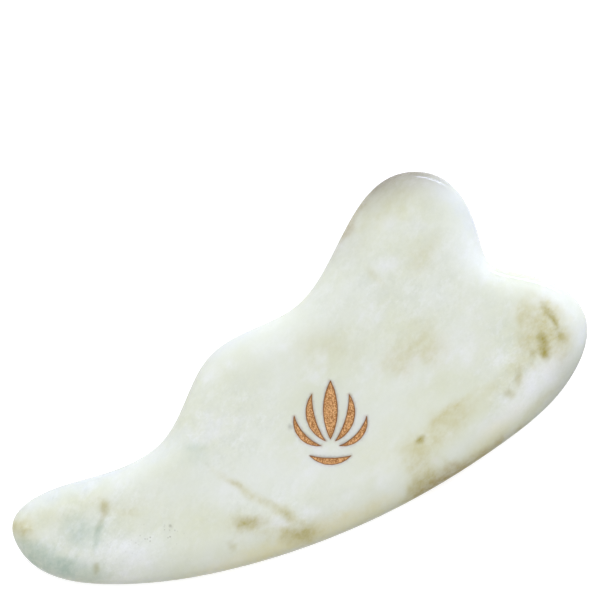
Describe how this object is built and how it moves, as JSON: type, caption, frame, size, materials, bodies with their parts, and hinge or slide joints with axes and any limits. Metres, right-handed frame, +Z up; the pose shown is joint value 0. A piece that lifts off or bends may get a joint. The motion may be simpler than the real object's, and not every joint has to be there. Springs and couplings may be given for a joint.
{
  "type": "gua sha scraper",
  "caption": "Flat jade gua sha scraper with a slim tail, a raised crest, a notch and a snout, round polished edges and a metallic lotus mark set in its face.",
  "frame": {"origin": "middle of the plate's bounding box, on the flat back face that it rests on", "axes": "+Z up out of the marked face, +X from the tail to the snout, +Y towards the crest"},
  "size_m": [0.1099, 0.056, 0.0065],
  "materials": {
    "jade": "polished",
    "copper_fill": "satin"
  },
  "bodies": {
    "root": {"stone_plate": "jade", "mark_centre_petal": "copper_fill", "mark_left_inner_petal": "copper_fill", "mark_left_outer_petal": "copper_fill", "mark_right_inner_petal": "copper_fill", "mark_right_outer_petal": "copper_fill", "mark_water_line": "copper_fill"}
  },
  "joints": []
}
